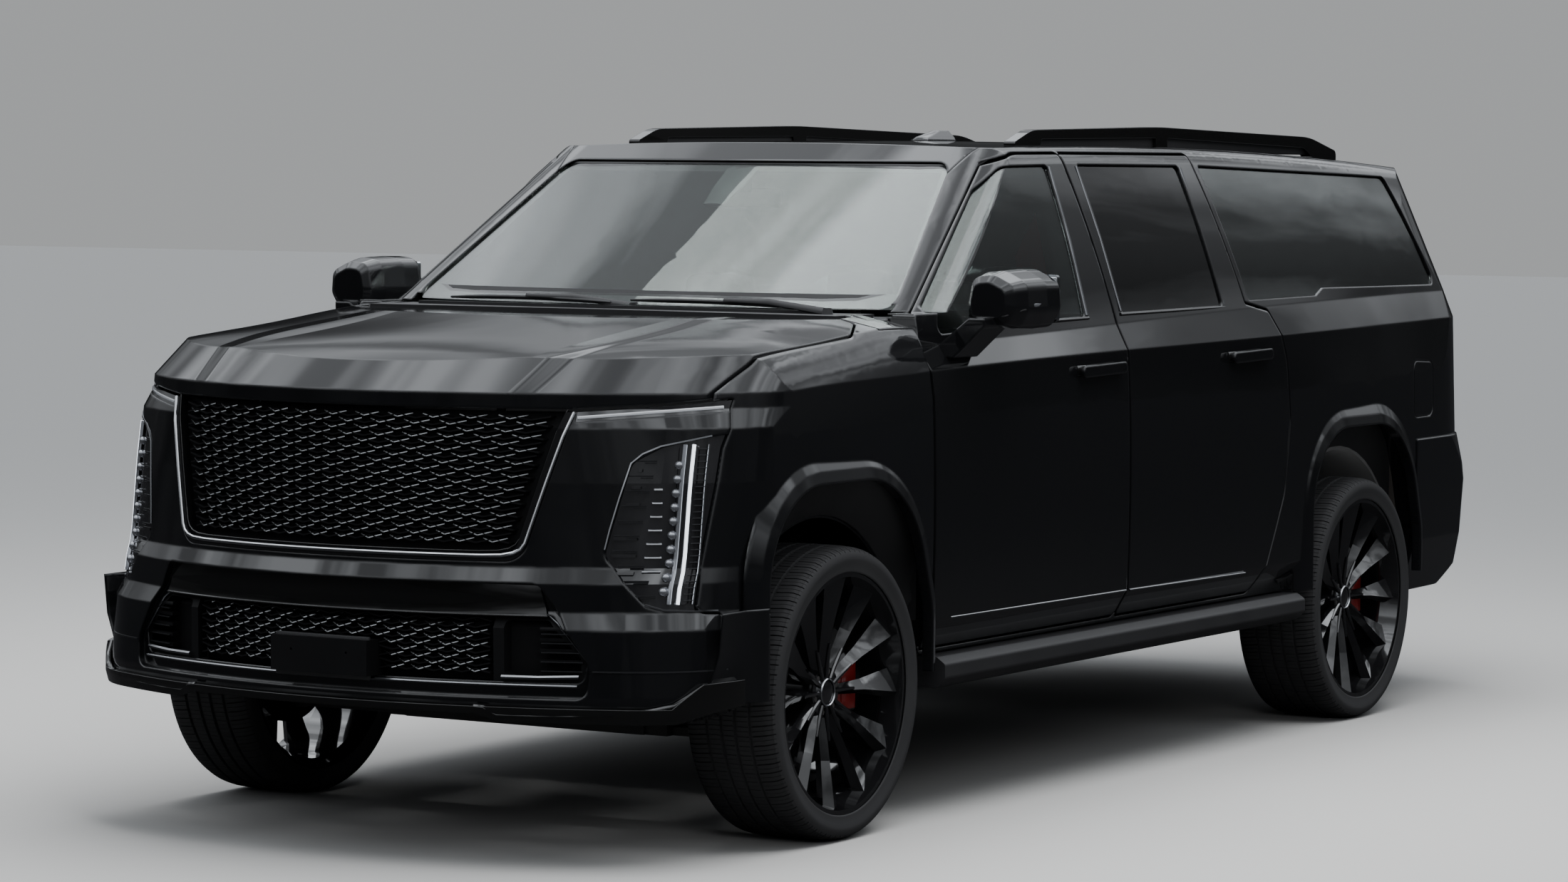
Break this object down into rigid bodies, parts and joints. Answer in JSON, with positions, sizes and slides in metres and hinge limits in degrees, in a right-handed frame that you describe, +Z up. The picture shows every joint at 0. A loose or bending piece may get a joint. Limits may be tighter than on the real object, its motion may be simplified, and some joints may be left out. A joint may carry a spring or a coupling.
{
  "type": "suv",
  "caption": "Full-size long sport utility vehicle with opening doors, hood and tailgate, steered front wheels, mesh grille, roof rails and running boards.",
  "frame": {"origin": "centre of the vehicle's box on the road surface", "axes": "+X to the vehicle's left, +Y to its rear, +Z up"},
  "size_m": [2.3824, 5.7658, 1.9482],
  "materials": {
    "paint": "gloss",
    "gloss_black_trim": "gloss",
    "black_plastic": "matte",
    "clear_glass": "gloss",
    "dark_glass": "gloss",
    "lamp": "gloss",
    "red_lamp": "gloss",
    "bright_trim": "satin",
    "tyre": "matte",
    "rim": "gloss",
    "frame_steel": "matte",
    "aluminium": "satin",
    "leather": "satin",
    "brake": "gloss"
  },
  "bodies": {
    "root": {"body_side_left": "paint", "body_side_right": "paint", "cowl_and_wipers": "black_plastic", "dashboard": "black_plastic", "engine_block": "frame_steel", "exhaust": "aluminium", "fixed_glass": "clear_glass", "floor_pan": "frame_steel", "front_bumper": "paint", "front_fenders": "paint", "front_lamps": "lamp", "front_lip": "gloss_black_trim", "front_suspension": "frame_steel", "ladder_frame": "frame_steel", "lower_grille": "gloss_black_trim", "main_grille": "bright_trim", "radiator": "aluminium", "rear_axle": "frame_steel", "rear_bumper": "paint", "roof_fin": "paint", "roof_panel": "paint", "roof_rails": "gloss_black_trim", "running_boards": "gloss_black_trim", "seats": "leather", "tail_lamps": "red_lamp"},
    "door_front_left_body": {"door_front_left": "paint", "glass_front_left": "clear_glass", "mirror_left": "paint"},
    "door_front_right_body": {"door_front_right": "paint", "glass_front_right": "clear_glass", "mirror_right": "paint"},
    "door_rear_left_body": {"door_rear_left": "paint", "glass_rear_left": "dark_glass"},
    "door_rear_right_body": {"door_rear_right": "paint", "glass_rear_right": "dark_glass"},
    "hood_body": {"hood": "paint"},
    "knuckle_left_body": {"knuckle_left": "brake"},
    "knuckle_right_body": {"knuckle_right": "brake"},
    "wheel_front_left": {"rim_front_left": "rim", "tyre_front_left": "tyre"},
    "wheel_front_right": {"rim_front_right": "rim", "tyre_front_right": "tyre"},
    "wheel_rear_left": {"rim_rear_left": "rim", "tyre_rear_left": "tyre"},
    "wheel_rear_right": {"rim_rear_right": "rim", "tyre_rear_right": "tyre"},
    "tailgate_body": {"tailgate": "paint", "tailgate_glass": "dark_glass"}
  },
  "joints": [
    {"name": "hood_hinge", "type": "hinge", "parent": "root", "child": "hood_body", "pos_m": [0, -1.523, 1.442], "axis": [-1, 0, 0], "range_deg": [0, 50]},
    {"name": "tailgate_hinge", "type": "hinge", "parent": "root", "child": "tailgate_body", "pos_m": [0, 2.477, 1.85], "axis": [1, 0, 0], "range_deg": [0, 85]},
    {"name": "door_front_left_hinge", "type": "hinge", "parent": "root", "child": "door_front_left_body", "pos_m": [1.031, -1.416, 0.9], "axis": [0, 0, -1], "range_deg": [0, 68]},
    {"name": "door_rear_left_hinge", "type": "hinge", "parent": "root", "child": "door_rear_left_body", "pos_m": [1.031, -0.221, 0.9], "axis": [0, 0, -1], "range_deg": [0, 68]},
    {"name": "door_front_right_hinge", "type": "hinge", "parent": "root", "child": "door_front_right_body", "pos_m": [-1.031, -1.416, 0.9], "axis": [0, 0, 1], "range_deg": [0, 68]},
    {"name": "door_rear_right_hinge", "type": "hinge", "parent": "root", "child": "door_rear_right_body", "pos_m": [-1.031, -0.221, 0.9], "axis": [0, 0, 1], "range_deg": [0, 68]},
    {"name": "steer_left", "type": "hinge", "parent": "root", "child": "knuckle_left_body", "pos_m": [0.818, -1.853, 0.4], "axis": [0, 0, 1], "range_deg": [-33, 33]},
    {"name": "steer_right", "type": "hinge", "parent": "root", "child": "knuckle_right_body", "pos_m": [-0.818, -1.853, 0.4], "axis": [0, 0, 1], "range_deg": [-33, 33]},
    {"name": "wheel_front_left_spin", "type": "hinge", "parent": "knuckle_left_body", "child": "wheel_front_left", "pos_m": [0.872, -1.853, 0.4], "axis": [1, 0, 0], "continuous": true},
    {"name": "wheel_rear_left_spin", "type": "hinge", "parent": "root", "child": "wheel_rear_left", "pos_m": [0.872, 1.554, 0.4], "axis": [1, 0, 0], "continuous": true},
    {"name": "wheel_front_right_spin", "type": "hinge", "parent": "knuckle_right_body", "child": "wheel_front_right", "pos_m": [-0.872, -1.853, 0.4], "axis": [1, 0, 0], "continuous": true},
    {"name": "wheel_rear_right_spin", "type": "hinge", "parent": "root", "child": "wheel_rear_right", "pos_m": [-0.872, 1.554, 0.4], "axis": [1, 0, 0], "continuous": true}
  ],
  "couplings": [
    {"joint": "steer_right", "follows": "steer_left", "ratio": 1}
  ]
}
